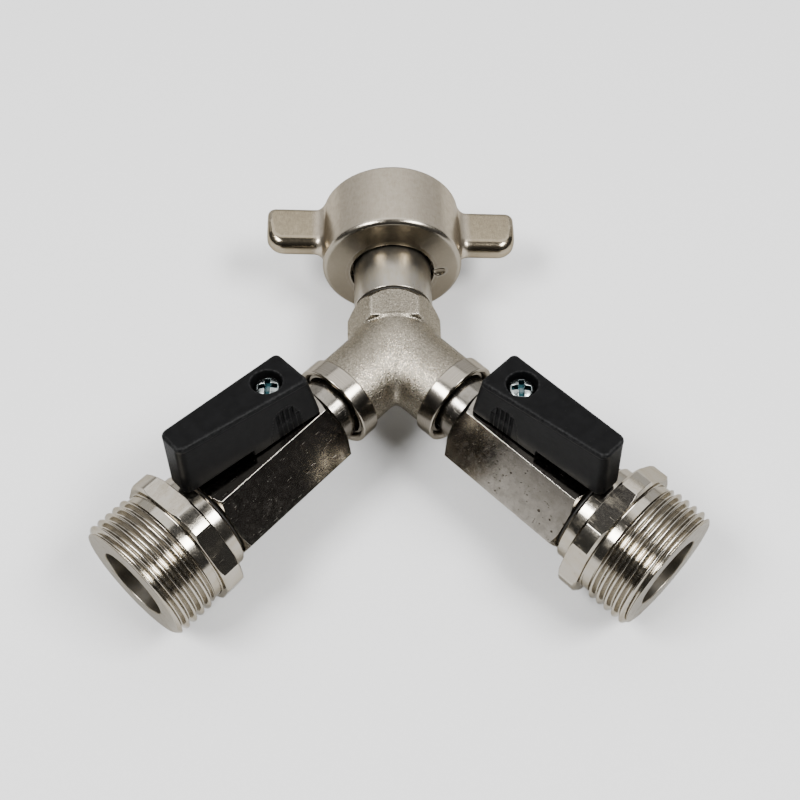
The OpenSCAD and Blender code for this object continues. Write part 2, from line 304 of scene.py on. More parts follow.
def piece(name, shells, place, body, material, nodes):
    """One Blender object made of closed shells, each (points, quads, normals or None, masks or None)."""
    points, quads, normals, masks, start = [], [], [], [], 0
    for p, q, n, m in shells:
        q = outward(p, q)
        n = weighted_normals(p, q) if n is None else n
        points.append(p)
        quads.append(q + start)
        normals.append(n)
        masks.append(np.zeros((len(p), 3)) if m is None else m)
        start += len(p)
    local, quads = np.concatenate(points), np.concatenate(quads)
    normals, masks = np.concatenate(normals), np.concatenate(masks)
    world = (local @ place[:3, :3].T + place[:3, 3]) * MM
    mesh = bpy.data.meshes.new(name)
    mesh.from_pydata(world, [], quads)
    for label, data in (("local", local), ("masks", masks), ("shade", normals @ place[:3, :3].T)):
        attribute = mesh.attributes.new(label, "FLOAT_VECTOR", "POINT")
        attribute.data.foreach_set("vector", data.astype(np.float32).ravel())
    b = bmesh.new()
    b.from_mesh(mesh)
    bmesh.ops.remove_doubles(b, verts=b.verts, dist=2e-7)
    bmesh.ops.dissolve_degenerate(b, edges=b.edges, dist=1e-7)
    b.to_mesh(mesh)
    b.free()
    shade = np.zeros(len(mesh.vertices) * 3, np.float32)
    mesh.attributes["shade"].data.foreach_get("vector", shade)
    mesh.attributes.remove(mesh.attributes["shade"])
    mesh.shade_smooth()
    mesh.normals_split_custom_set_from_vertices(shade.reshape(-1, 3).tolist())
    mesh.materials.append(material)
    thing = bpy.data.objects.new(name, mesh)
    bpy.context.scene.collection.objects.link(thing)
    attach(thing, body)
    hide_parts(*nodes)


# ---- Materials ----

RIM_TINT = (0.52, 0.50, 0.46, 1)


class Graph:
    """A node material under construction."""

    def __init__(self, name):
        self.material = bpy.data.materials.new(name)
        self.material.use_nodes = True
        self.tree = self.material.node_tree
        self.shader = self.tree.nodes["Principled BSDF"]

    def node(self, kind, inputs=None, **settings):
        made = self.tree.nodes.new("ShaderNode" + kind)
        for key, value in settings.items():
            setattr(made, key, value)
        for key, value in (inputs or {}).items():
            self.feed(made.inputs[key], value)
        return made

    def feed(self, socket, value):
        if isinstance(value, bpy.types.NodeSocket):
            self.tree.links.new(value, socket)
        else:
            socket.default_value = value

    def put(self, **values):
        """Sets or links the shader's own inputs."""
        for key, value in values.items():
            self.feed(self.shader.inputs[key.replace("_", " ")], value)

    def math(self, operation, a, b):
        return self.node("Math", {0: a, 1: b}, operation=operation).outputs[0]

    def times(self, a, b):
        return self.math("MULTIPLY", a, b)

    def plus(self, a, b):
        return self.math("ADD", a, b)

    def minus(self, a, b):
        return self.math("SUBTRACT", a, b)

    def span(self, value, low, high, to_low=0.0, to_high=1.0):
        """Maps low..high to to_low..to_high, held at its ends."""
        inputs = {"Value": value, "From Min": low, "From Max": high, "To Min": to_low, "To Max": to_high}
        return self.node("MapRange", inputs).outputs[0]

    def swing(self, noise, to_low=0.0, to_high=1.0):
        """Maps the range that a noise mostly keeps to."""
        return self.span(noise, 0.3, 0.7, to_low, to_high)

    def blend(self, share, a, b):
        made = self.node("Mix", data_type="RGBA")
        self.feed(made.inputs["Factor"], share)
        self.feed(made.inputs["A"], a if isinstance(a, bpy.types.NodeSocket) else (*a, 1))
        self.feed(made.inputs["B"], b if isinstance(b, bpy.types.NodeSocket) else (*b, 1))
        return made.outputs["Result"]

    def local(self, scale=(1, 1, 1), rotation=(0, 0, 0)):
        """The piece's own coordinates in millimetres, turned and stretched."""
        source = self.node("Attribute", attribute_name="local").outputs["Vector"]
        angles = tuple(math.radians(v) for v in rotation)
        inputs = {"Vector": source, "Rotation": angles, "Scale": scale}
        return self.node("Mapping", inputs).outputs["Vector"]

    def along(self, vector, axis):
        return self.node("SeparateXYZ", {"Vector": vector}).outputs[axis]

    def noise(self, vector, scale, detail, rough):
        inputs = {"Vector": vector, "Scale": scale, "Detail": detail, "Roughness": rough}
        return self.node("TexNoise", inputs).outputs["Fac"]

    def cells(self, vector, scale):
        """Scattered cells: how far each place is from its cell's middle, and one random value per cell."""
        made = self.node("TexVoronoi", {"Vector": vector, "Scale": scale, "Randomness": 1.0})
        pick = self.node("SeparateColor", {"Color": made.outputs["Color"]}).outputs["Red"]
        return made.outputs["Distance"], pick

    def masks(self):
        source = self.node("Attribute", attribute_name="masks").outputs["Vector"]
        return self.node("SeparateXYZ", {"Vector": source}).outputs

    def spots(self, vector, scale, share):
        """Scattered round specks: 1 inside a speck; share is how large they are in their cells."""
        distance, pick = self.cells(vector, scale)
        size = self.times(self.math("POWER", pick, 4.0), share)
        return self.span(self.minus(size, distance), 0.0, 0.35 * share)

    def scratches(self, layers):
        """Fine straight marks: each layer is (rotation, scale, threshold) of a strongly stretched noise."""
        total = None
        for rotation, scale, threshold in layers:
            vector = self.local((scale * 0.035, scale, scale), rotation)
            mark = self.span(self.noise(vector, 1.0, 1.0, 0.4), threshold, threshold + 0.05)
            total = mark if total is None else self.math("MAXIMUM", total, mark)
        return total

    def bump(self, layers):
        """Chains (height, depth in millimetres) pairs into one normal."""
        normal = None
        for height, depth in layers:
            inputs = {"Height": height, "Strength": 1.0, "Distance": depth * MM}
            if normal is not None:
                inputs["Normal"] = normal
            normal = self.node("Bump", inputs).outputs["Normal"]
        self.feed(self.shader.inputs["Normal"], normal)


def turned_lines(g, scale, along):
    """Fine grooves, as a turning tool leaves them, around the axis that along is measured on."""
    inputs = {"W": along, "Scale": scale, "Detail": 4.0, "Roughness": 0.7}
    return g.node("TexNoise", inputs, noise_dimensions="1D").outputs["Fac"]


def make_cast_nickel():
    """Bead-blasted casting. Masks: x is 1 where turned, 2 inside a collar's mouth, where shade is painted; y
    is worn; z is along a collar.
    """
    g = Graph("cast_nickel")
    finish, edge, along = g.masks()
    turned = g.span(finish, 0.0, 1.0)
    mouth_shade = g.span(finish, 1.0, 2.0)
    plain = g.local()
    grain = g.noise(plain, 4.0, 2.0, 0.6)
    pits = g.noise(plain, 7.5, 2.0, 0.6)
    cloud = g.noise(plain, 0.22, 3.0, 0.6)
    bead = g.cells(plain, 4.0)[1]
    lines = turned_lines(g, 5.0, along)
    dark, pale = (0.12, 0.105, 0.08), (0.37, 0.333, 0.27)
    glint, shade, haze = (0.50, 0.46, 0.385), (0.09, 0.078, 0.06), (0.22, 0.193, 0.148)
    turned_dark, turned_pale = (0.225, 0.202, 0.165), (0.34, 0.312, 0.27)
    rubbed, painted_joint_shade, painted_mouth_shade = (0.58, 0.53, 0.44), (0.035, 0.025, 0.012), (0.035, 0.028, 0.018)
    colour = g.blend(g.span(grain, 0.32, 0.70), dark, pale)
    colour = g.blend(g.span(bead, 0.72, 1.0, 0.0, 0.45), colour, glint)
    colour = g.blend(g.span(bead, 0.25, 0.0, 0.0, 0.45), colour, shade)
    colour = g.blend(g.span(cloud, 0.35, 0.7, 0.0, 0.3), colour, haze)
    colour = g.blend(turned, colour, g.blend(g.swing(lines), turned_dark, turned_pale))
    colour = g.blend(g.times(edge, 0.4), colour, rubbed)
    # painted shade: a near-black band, at half to full strength by the cloud noise, over the hex's last 0.7
    # mm before the tailpiece, standing in for the shade in that joint
    seam = g.span(g.along(plain, "Y"), HEX_END - 0.7, HEX_END - 0.1)
    colour = g.blend(g.times(seam, g.span(cloud, 0.3, 0.6, 0.5, 1.0)), colour, painted_joint_shade)
    # painted shade: inside each collar's mouth the colour is made near-black and rougher, standing in for the
    # shade in the gap round the neck
    colour = g.blend(g.times(mouth_shade, 0.9), colour, painted_mouth_shade)
    blasted = g.span(bead, 0.0, 1.0, 0.38, 0.19)
    machined = g.swing(lines, 0.13, 0.19)
    keep = g.minus(1.0, turned)
    rough = g.plus(g.times(blasted, keep), g.times(machined, turned))
    rough = g.plus(rough, g.times(mouth_shade, 0.3))
    g.put(Base_Color=colour, Metallic=1.0, Roughness=rough, Specular_Tint=RIM_TINT)
    relief = g.times(g.plus(grain, g.times(pits, 0.3)), keep)
    g.bump([(relief, 0.10), (g.times(lines, turned), 0.0008)])
    return g.material


def make_satin_nickel():
    """The nut, faintly brushed along its axis. Masks: x is the near face, where shade is painted, y is worn,
    z is the wings.
    """
    g = Graph("satin_nickel")
    face, edge, wing = g.masks()
    brushed = g.noise(g.local((0.12, 1, 1)), 4.5, 4.0, 0.65)
    mottle = g.noise(g.local(), 0.85, 4.0, 0.6)
    speck = g.noise(g.local(), 5.5, 2.0, 0.5)
    spots = g.spots(g.local(), 0.8, 0.13)
    dark, pale, brush_line = (0.31, 0.268, 0.21), (0.40, 0.352, 0.282), (0.48, 0.43, 0.35)
    spot, painted_face_shade, wing_plate = (0.20, 0.17, 0.13), (0.155, 0.134, 0.10), (0.17, 0.135, 0.078)
    rubbed = (0.58, 0.55, 0.49)
    colour = g.blend(g.swing(mottle), dark, pale)
    colour = g.blend(g.span(brushed, 0.35, 0.7, 0.0, 0.45), colour, brush_line)
    colour = g.blend(g.times(spots, 0.5), colour, spot)
    # painted shade: the near face is darkened, standing in for the shaded floor that it reflects
    colour = g.blend(g.times(face, 0.85), colour, painted_face_shade)
    colour = g.blend(g.times(wing, g.swing(speck, 0.75, 0.55)), colour, wing_plate)
    colour = g.blend(g.times(edge, 0.25), colour, rubbed)
    rough = g.plus(g.swing(brushed, 0.36, 0.27), g.swing(mottle, 0.03, -0.02))
    rough = g.minus(rough, g.times(face, 0.10))
    rough = g.minus(rough, g.times(wing, 0.13))
    g.put(Base_Color=colour, Metallic=1.0, Roughness=rough, Specular_Tint=RIM_TINT)
    g.bump([(brushed, 0.0025), (speck, 0.003), (mottle, 0.005)])
    return g.material


def make_turned_nickel():
    """Turned, plated parts. Masks: x is 1 where satin, 2 where painted shade is laid on too; y is worn; z is
    in a thread, where painted light is laid on.
    """
    g = Graph("turned_nickel")
    finish, edge, groove = g.masks()
    satin = g.span(finish, 0.0, 1.0)
    bore_and_tail_shade = g.span(finish, 1.0, 2.0)
    lines = turned_lines(g, 7.0, g.along(g.local(), "X"))
    stain = g.noise(g.local((0.5, 1, 1)), 0.45, 5.0, 0.65)
    fine = g.noise(g.local(), 2.6, 4.0, 0.6)
    marks = g.scratches([((20, 35, 10), 7.0, 0.73), ((70, 10, 50), 6.0, 0.74)])
    specks = g.times(g.spots(g.local(), 1.3, 0.16), g.minus(1.0, satin))
    plate, stained_plate, line = (0.33, 0.307, 0.267), (0.30, 0.262, 0.195), (0.40, 0.373, 0.33)
    scratch, painted_deep_shade, painted_groove_light = (0.30, 0.26, 0.20), (0.075, 0.062, 0.042), (0.56, 0.53, 0.475)
    pit, rubbed = (0.10, 0.08, 0.06), (0.52, 0.49, 0.44)
    colour = g.blend(g.span(stain, 0.42, 0.75), plate, stained_plate)
    colour = g.blend(g.span(lines, 0.4, 0.75, 0.0, 0.25), colour, line)
    colour = g.blend(g.times(marks, 0.5), colour, scratch)
    # painted shade: above 1 the colour is darkened to a near-black brown, at 60 to 100 % by the stain noise,
    # in the adapters' bores and on the tailpiece near the nut
    colour = g.blend(g.times(bore_and_tail_shade, g.span(stain, 0.3, 0.6, 0.6, 1.0)), colour, painted_deep_shade)
    # painted light: the thread's flanks and roots are lifted towards a pale grey, standing in for light in
    # the grooves
    colour = g.blend(g.times(groove, 0.4), colour, painted_groove_light)
    colour = g.blend(g.times(specks, 0.8), colour, pit)
    colour = g.blend(g.times(edge, 0.5), colour, rubbed)
    rough = g.plus(g.span(fine, 0.3, 0.72, 0.12, 0.18), g.span(stain, 0.5, 0.66, 0.0, 0.10))
    rough = g.plus(rough, g.times(marks, 0.15))
    rough = g.plus(rough, g.times(satin, 0.17))
    g.put(Base_Color=colour, Metallic=1.0, Roughness=rough, Specular_Tint=RIM_TINT)
    g.bump([(lines, 0.0003), (fine, 0.0006), (g.times(marks, -1.0), 0.001), (g.times(specks, -1.0), 0.008)])
    return g.material


def make_polished_nickel():
    """Polished hexagon bar with scratches, dark pits and mottled plate. Masks: x is satin, y is worn."""
    g = Graph("polished_nickel")
    satin, edge, _ = g.masks()
    mottle = g.noise(g.local(), 0.5, 5.0, 0.62)
    fine = g.noise(g.local(), 3.2, 3.0, 0.6)
    marks = g.scratches([((12, 28, 5), 9.5, 0.745), ((55, 8, 40), 10.5, 0.75), ((80, 60, 15), 9.0, 0.745)])
    pits = g.spots(g.local(), 0.7, 0.27)
    tiny = g.spots(g.local(), 1.6, 0.42)
    pits = g.times(g.math("MAXIMUM", pits, g.times(tiny, 0.8)), g.minus(1.0, satin))
    haze = g.span(g.noise(g.local(), 0.9, 6.0, 0.75), 0.48, 0.66)
    pale, dark = (0.225, 0.208, 0.183), (0.165, 0.152, 0.131)
    scratch, pit, rubbed = (0.5, 0.48, 0.44), (0.055, 0.045, 0.035), (0.55, 0.53, 0.48)
    colour = g.blend(g.span(mottle, 0.35, 0.68), pale, dark)
    colour = g.blend(g.times(marks, 0.2), colour, scratch)
    colour = g.blend(pits, colour, pit)
    colour = g.blend(g.times(edge, 0.2), colour, rubbed)
    rough = g.plus(g.swing(fine, 0.09, 0.15), g.times(marks, 0.14))
    rough = g.plus(rough, g.times(haze, 0.10))
    rough = g.plus(rough, g.times(satin, 0.06))
    g.put(Base_Color=colour, Metallic=1.0, Roughness=rough, Specular_Tint=RIM_TINT)
    g.bump([(mottle, 0.0015), (fine, 0.0004), (g.times(marks, -1.0), 0.0008), (g.times(pits, -1.0), 0.012)])
    return g.material


def make_black_nylon():
    """Moulded black nylon with a spark-eroded texture. Masks: x is down in the ribs, y is worn."""
    g = Graph("black_nylon")
    groove, edge, _ = g.masks()
    skin = g.noise(g.local(), 5.0, 3.0, 0.6)
    cloud = g.noise(g.local(), 0.5, 3.0, 0.6)
    dust = g.spots(g.local(), 1.9, 0.10)
    worn = g.times(edge, g.span(g.noise(g.local(), 2.2, 3.0, 0.7), 0.42, 0.75))
    dark, pale = (0.0018, 0.0018, 0.0019), (0.0034, 0.0034, 0.0036)
    rubbed, dust_colour = (0.035, 0.035, 0.035), (0.16, 0.16, 0.15)
    colour = g.blend(g.swing(cloud), dark, pale)
    colour = g.blend(g.times(worn, 0.5), colour, rubbed)
    colour = g.blend(g.times(dust, 0.35), colour, dust_colour)
    rough = g.plus(g.swing(skin, 0.38, 0.52), g.times(groove, 0.25))
    g.put(Base_Color=colour, Metallic=0.0, Roughness=rough, Specular_IOR_Level=0.055)
    g.bump([(skin, 0.024), (cloud, 0.03)])
    return g.material


def make_zinc_steel():
    """Blue-passivated zinc on the screws, with a blue-green painted shade down in the cross. Masks: x is down
    in the cross, y is worn.
    """
    g = Graph("zinc_steel")
    deep, edge, _ = g.masks()
    fine = g.noise(g.local(), 3.5, 4.0, 0.65)
    dark, pale = (0.20, 0.22, 0.22), (0.34, 0.37, 0.365)
    blue_and_painted_shade, rubbed = (0.014, 0.045, 0.052), (0.75, 0.78, 0.77)
    colour = g.blend(g.swing(fine), dark, pale)
    # painted shade with the plating's blue tint: the cross recess is made a near-black blue-green
    colour = g.blend(deep, colour, blue_and_painted_shade)
    colour = g.blend(g.times(edge, 0.4), colour, rubbed)
    g.put(Base_Color=colour, Metallic=1.0, Roughness=g.swing(fine, 0.16, 0.30))
    g.bump([(fine, 0.006)])
    return g.material


def make_plain(name, dark, pale, rough, metallic, scale, depth):
    """A finish for small inner parts, worked out in the node's own coordinates, in metres."""
    g = Graph(name)
    fine = g.noise(g.node("TexCoord").outputs["Object"], scale, 4.0, 0.6)
    g.put(Base_Color=g.blend(g.swing(fine), dark, pale), Metallic=metallic, Roughness=g.swing(fine, *rough))
    g.bump([(fine, depth)])
    return g.material


cast_nickel = make_cast_nickel()
satin_nickel = make_satin_nickel()
turned_nickel = make_turned_nickel()
polished_nickel = make_polished_nickel()
black_nylon = make_black_nylon()
zinc_steel = make_zinc_steel()

# Each inner slot: dark and pale colour, roughness range, metallic, grain per metre, bump in millimetres.
INNER_FINISHES = {
    "bare_brass": ((0.50, 0.34, 0.12), (0.70, 0.52, 0.24), (0.2, 0.34), 1.0, 2400, 0.01),
    "chromed_ball": ((0.66, 0.67, 0.68), (0.80, 0.80, 0.80), (0.04, 0.09), 1.0, 1500, 0.004),
    "ptfe": ((0.74, 0.73, 0.69), (0.85, 0.84, 0.80), (0.38, 0.52), 0.0, 1800, 0.01),
    "rubber": ((0.008, 0.007, 0.006), (0.022, 0.019, 0.015), (0.45, 0.65), 0.0, 2600, 0.02),
}
inner_materials = {slot: make_plain(slot, *finish) for slot, finish in INNER_FINISHES.items()}


# ---- Y body ----

ARM_R = 8.4
ARM_FLOW = 1.55
COLLAR_R = 9.3
COLLAR_START, COLLAR_END = 15.5, 19.6
SOCKET_FLOOR = 10.5
BRANCH_WAY_R = 5
HEX_APOTHEM, HEX_CORNER_R = 8.9, 10.2
BEVEL_START, BEVEL_SLOPE = 8.2, 0.68
OVERLAP = 0.5


def hexagon(u, v, apothem, r):
    """A hexagon bar with a flat up, its corners rounded by r."""
    field = np.abs(v) - apothem
    for a in (math.radians(30), math.radians(-30)):
        field = both(field, np.abs(u * math.cos(a) + v * math.sin(a)) - apothem, r)
    return field


def arm_axes(x, y, z, side):
    """How far out along one arm's axis each point is, and how far off that axis."""
    along = side * x * math.sin(math.radians(HALF_SPREAD)) - y * math.cos(math.radians(HALF_SPREAD))
    return along, np.sqrt(np.maximum(x * x + y * y + z * z - along * along, 0))


def y_field(x, y, z):
    """The casting about the ports' crossing, the inlet on +Y; its arms run a little into their collars."""
    from_axis = np.hypot(x, z)
    arms = [arm_axes(x, y, z, side) for side in (-1, 1)]
    bars = [np.hypot(off, np.minimum(along, 0)) - ARM_R for along, off in arms]
    bars.append(np.hypot(from_axis, np.minimum(y, 0)) - ARM_R)
    solid = both(melt(bars, ARM_FLOW), y - HEX_START - OVERLAP, 0.2)
    for along, _ in arms:
        solid = both(solid, along - COLLAR_START - OVERLAP, 0.2)
    socket = both(hexagon(x, z, HEX_APOTHEM, 0.12), from_axis - HEX_CORNER_R, 0.05)
    socket = both(both(socket, HEX_START - y, 0.5), y - HEX_END, 0.2)
    cone = (from_axis - HEX_CORNER_R + (y - BEVEL_START) * BEVEL_SLOPE) / math.hypot(1, BEVEL_SLOPE)
    solid = either(solid, both(socket, cone, 0.08), 0.6)
    way = both(from_axis - INLET_WAY_R, -y)
    way = either(way, both(from_axis - SPIGOT_R - JOINT_GAP, HEX_START - y))
    for along, off in arms:
        way = either(way, both(off - BRANCH_WAY_R, -along))
        way = either(way, both(off - MOUTH_R, SOCKET_FLOOR - along))
    return less(solid, way, 0.2)


def collar_shell(side):
    """A turned collar on the end of one arm, with painted shade inside its mouth."""
    points, quads = lathe([
        (COLLAR_START, MOUTH_R, 0.1), (COLLAR_START, COLLAR_R, 0.35), (COLLAR_END, COLLAR_R, 0.5),
        (COLLAR_END, MOUTH_R + 0.55, 0.15), (COLLAR_END - 0.5, MOUTH_R, 0.1),
    ])
    masks = np.zeros((len(points), 3))
    # painted shade: 2 inside the mouth, which the material darkens
    masks[:, 0] = 1 + (from_x(points) < MOUTH_R + 0.1)
    masks[:, 2] = points[:, 0]
    return points @ turn("Z", side * HALF_SPREAD - 90)[:3, :3].T, quads, None, masks


points, quads, normals = net(y_field, (-18.5, -18.5, -10.6), (18.5, 11.2, 10.6), 0.3)
masks = np.zeros((len(points), 3))
masks[:, 1] = worn(y_field, points, 0.25, 0.8, 2.4)
piece(
    "y_body_casting", [(points, quads, normals, masks), collar_shell(-1), collar_shell(1)],
    CROSSING, "root", cast_nickel, ["y_body"],
)


# ---- Wing nut ----

NUT_R = 15.8
NUT_NEAR, NUT_MOUTH = 22.0, 39.9
NUT_HOLE_R = 9.3
FACE_R, FACE_SLOPE = 10.5, 0.22
WEB_END, UNDERCUT_R = 24.5, 13.35
LINING_START, LINING_SEAT_R, LINING_R = 30.5, 13.7, 14.4
WING_REACH, WING_HALF = 28.6, 2.7
WING_NEAR, WING_FAR = 28.0, 39.0
PITCH = 1.814
THREAD_R, THREAD_MINOR_R = 13.22, 12.06
THREAD_H = 1.162
FLANK_ANGLE = math.radians(27.5)


def thread_radius(s, angle, outer=THREAD_R):
    """The Whitworth form of a pipe thread at each station and angle."""
    x = np.abs(((s / PITCH - angle / (2 * math.pi)) % 1.0) - 0.5) * PITCH
    tip_r = 0.1373 * PITCH
    reach = tip_r * math.cos(FLANK_ANGLE)
    steep = 1 / math.tan(FLANK_ANGLE)

    def half(x):
        crest = np.sqrt(np.maximum(tip_r * tip_r - x * x, 0)) - tip_r
        flank = -THREAD_H / 2 + (PITCH / 4 - x) * steep
        return np.where(x < reach, crest, flank)

    return outer + np.where(x < PITCH / 4, half(x), -THREAD_H - half(PITCH / 2 - x))


def nut_field(s, y, z):
    """The nut without its thread; its near face is a shallow cone with one dent."""
    r = np.hypot(y, z)
    face = (NUT_NEAR + FACE_SLOPE * np.maximum(0, r - FACE_R) - s) * 0.98
    body = both(both(r - NUT_R, face, 1.0), s - NUT_MOUTH, 0.6)
    outline = both(both(np.abs(y) - WING_REACH, WING_NEAR - s, 4.0), s - WING_FAR, 1.9)
    wing = both(outline, np.abs(z) - WING_HALF, 1.2 + 1.3 * ramp(s, 35, 30))
    solid = either(body, wing, 1.9)
    hollow = both(r - NUT_HOLE_R, slab(s, NUT_NEAR - 2, NUT_MOUTH))
    hollow = either(hollow, both(r - UNDERCUT_R, WEB_END - s))
    hollow = either(hollow, both(r - LINING_SEAT_R, LINING_START + 0.3 - s))
    solid = less(solid, hollow, 0.35)
    dent = np.sqrt(((y + 10.9) / 1.7) ** 2 + ((z - 0.6) / 1.15) ** 2 + ((s - NUT_NEAR) / 0.7) ** 2) - 1
    return less(solid, dent * 0.6, 0.2)


def nut_masks(points):
    masks = np.zeros((len(points), 3))
    # painted shade: 1 on the near face, which the material darkens
    masks[:, 0] = ramp(points[:, 0], NUT_NEAR + 2.1, NUT_NEAR + 1.5)
    masks[:, 1] = worn(nut_field, points, 0.3, 0.35, 1.25)
    masks[:, 2] = ramp(np.abs(points[:, 1]), NUT_R + 1.2, NUT_R + 2.7)
    return masks


def nut_thread():
    """The threaded lining of the nut's mouth: a closed ring with helical grooves inside."""
    angles = even_angles(160)
    s = np.arange(LINING_START, NUT_MOUTH - 0.75, 0.09)
    inner = thread_radius(s[None], angles[:, None], THREAD_R + 0.03)
    inner = np.maximum(inner, THREAD_MINOR_R + np.maximum(0, s[None] - (NUT_MOUTH - 1.6)))
    loops = np.zeros((len(angles), len(s) + 2, 2))
    loops[:, :-2, 0], loops[:, :-2, 1] = s, inner
    loops[:, -2] = s[-1], LINING_R
    loops[:, -1] = s[0], LINING_R
    points, quads = columns(angles, loops)
    return points, quads, None, None


points, quads, normals = net(nut_field, (21.4, -29.2, -16.5), (40.5, 29.2, 16.5), 0.32)
piece(
    "wing_nut_casting", [(points, quads, normals, nut_masks(points)), nut_thread()],
    INLET @ turn("X", NUT_TURN), "wing_nut", satin_nickel, ["wing_nut"],
)


# ---- Tailpiece ----

TAIL_START, TAIL_R, TAIL_BORE_R = 11.15, 8.65, 6.0
TAIL_FLANGE_BACK, TAIL_FLANGE_FACE, TAIL_FLANGE_R = 24.6, 26.45, 11.8
BORE_STEP = 12.1

points, quads = lathe([
    (3.5, INLET_WAY_R, 0.1), (3.5, SPIGOT_R, 0.3), (TAIL_START, SPIGOT_R, 0.05), (TAIL_START, TAIL_R, 0.22),
    (TAIL_FLANGE_BACK, TAIL_R, 0.3), (TAIL_FLANGE_BACK, TAIL_FLANGE_R, 0.3),
    (TAIL_FLANGE_FACE, TAIL_FLANGE_R, 0.3), (TAIL_FLANGE_FACE, TAIL_BORE_R, 0.3),
    (BORE_STEP, TAIL_BORE_R, 0.1), (BORE_STEP, INLET_WAY_R, 0.2),
])
masks = np.zeros((len(points), 3))
# painted shade: satin all along, and darkened more and more from about 17.7 mm towards the nut
masks[:, 0] = 0.8 + 0.8 * ramp(points[:, 0], 16.8, 20.3)
piece(
    "tailpiece_turned", [(points, quads, None, masks)],
    INLET, "root", turned_nickel, ["tailpiece"],
)


# ---- Valve bodies ----

VALVE_APOTHEM = 9.9
VALVE_START, VALVE_END = 24.0, 54.3
NEAR_BEVEL, FAR_BEVEL = (2.2, 1.7), (1.3, 0.8)
MALE_START, MALE_END = 11, 18.6
NECK_R = 7.0
VALVE_WAY_R = 4
ROOM_START, ROOM_END, ROOM_R = 26.4, 44.6, 7.2
STEM_HOLE_R, BOSS_R, BOSS_FOOT, BOSS_TOP = 3.0, 4.0, 8.4, 13.5
NOTCH_R, NOTCH_FLOOR, NOTCH_FROM, NOTCH_TO = 3.4, 12.6, 242, 22
BROKEN_EDGE = 0.14


def hex_angles(apothem, corner_r=0.0, turned=0.0, cut=None):
    """Angles about local X that catch a hexagon's corners, and the hexagon's radius at each.

    A corner is rounded by corner_r, or turned off beyond cut degrees from the middle of a flat.
    """
    if cut:
        start = cut
        near = np.concatenate([[cut - 0.3, cut, cut + 0.3], np.arange(cut + 1.5, 30, 1.5), [30]])
    else:
        start = math.degrees(math.atan((apothem - corner_r) * math.tan(math.radians(30)) / apothem))
        near = np.linspace(start, 30, 5)
    one = np.unique(np.concatenate([np.arange(0, start - 0.9, 2.5), [start - 0.35], near]))
    flat = np.concatenate([-one[:0:-1], one])[1:]
    angles = np.radians(np.concatenate([flat + 60 * k for k in range(6)]) + 90 + turned)
    off = np.tile(np.abs(flat), 6)
    radius = apothem / np.cos(np.radians(off))
    if cut:
        return angles, np.minimum(radius, apothem / math.cos(math.radians(cut)))
    gap = np.radians(30 - off)
    middle = (apothem - corner_r) / math.cos(math.radians(30))
    arc = middle * np.cos(gap) + np.sqrt(np.maximum(corner_r ** 2 - (middle * np.sin(gap)) ** 2, 0))
    return angles, np.where(off > start, arc, radius)


def off_flat(angles, turned=0.0):
    """Degrees from the middle of the nearest flat, up to 30 on a hexagon's corner."""
    return np.abs((np.degrees(angles) - 90 - turned + 30) % 60 - 30)


def bevel(radius, end, inward, face_r, depth, length):
    """Per angle, the two profile points where a turned cone meets a bar's end face and its side."""
    low = np.minimum(face_r, radius - BROKEN_EDGE)
    run = np.maximum((radius - face_r) * length / depth, BROKEN_EDGE)
    return np.stack([np.full_like(radius, end), low], 1), np.stack([end + inward * run, radius], 1)


def ring_loops(corners, count, steps=ROUND_STEPS):
    """One profile per angle, from (corner, round) pairs; a corner is a [station, radius] or one per angle."""
    at = np.stack([np.broadcast_to(np.array(corner, float), (count, 2)) for corner, _ in corners], 1)
    return rounded(at, [r for _, r in corners], steps)


def valve_bar():
    corner_r = VALVE_APOTHEM / math.cos(math.radians(30))
    angles, radius = hex_angles(VALVE_APOTHEM, corner_r=0.12)
    near_face, near_side = bevel(radius, VALVE_START, 1, corner_r - NEAR_BEVEL[0], *NEAR_BEVEL)
    far_face, far_side = bevel(radius, VALVE_END, -1, corner_r - FAR_BEVEL[0], *FAR_BEVEL)
    loops = ring_loops([
        ((MALE_START, VALVE_WAY_R), 0.1), ((MALE_START, JOINT_R), 0.4), ((MALE_END, JOINT_R), 0.2),
        ((MALE_END, NECK_R), 0.3), ((VALVE_START, NECK_R), 0.25), (near_face, 0.1), (near_side, 0.1),
        (far_side, 0.1), (far_face, 0.1), ((VALVE_END, MOUTH_R), 0.2), ((ROOM_END, MOUTH_R), 0.1),
        ((ROOM_END, ROOM_R), 0.1), ((ROOM_START, ROOM_R), 0.2), ((ROOM_START, VALVE_WAY_R), 0.2),
    ], len(angles))
    points, quads = columns(angles, loops)
    bevel_edges = np.zeros((len(angles), loops.shape[1] // (ROUND_STEPS + 1), ROUND_STEPS + 1))
    bevel_edges[:, 5:9, 1:-1] = 0.5
    on_corner = np.repeat(ramp(off_flat(angles), 28.6, 29.8), loops.shape[1]) * (from_x(points) > 9)
    masks = np.zeros((len(points), 3))
    masks[:, 0] = points[:, 0] < VALVE_START + 0.1
    masks[:, 1] = np.maximum(bevel_edges.reshape(-1), on_corner)
    return points, quads, None, masks


def stem_boss():
    """The boss round the stem, with a notch for the lever's stop; made about local X, then stood up."""
    around = even_angles(96)
    facing = np.degrees(around)
    rim = np.where((facing > NOTCH_FROM) | (facing < NOTCH_TO), NOTCH_R, BOSS_R)
    loops = ring_loops([
        ((BOSS_FOOT, STEM_HOLE_R), 0.05), ((BOSS_FOOT, BOSS_R), 0.05), ((NOTCH_FLOOR, BOSS_R), 0.1),
        (np.stack([np.full(len(around), NOTCH_FLOOR), rim], 1), 0.05),
        (np.stack([np.full(len(around), BOSS_TOP), rim], 1), 0.2), ((BOSS_TOP, STEM_HOLE_R), 0.2),
    ], len(around), 2)
    points, quads = columns(around, loops)
    return np.stack([points[:, 1] + STEM_S, points[:, 2], points[:, 0]], 1), quads, None, None


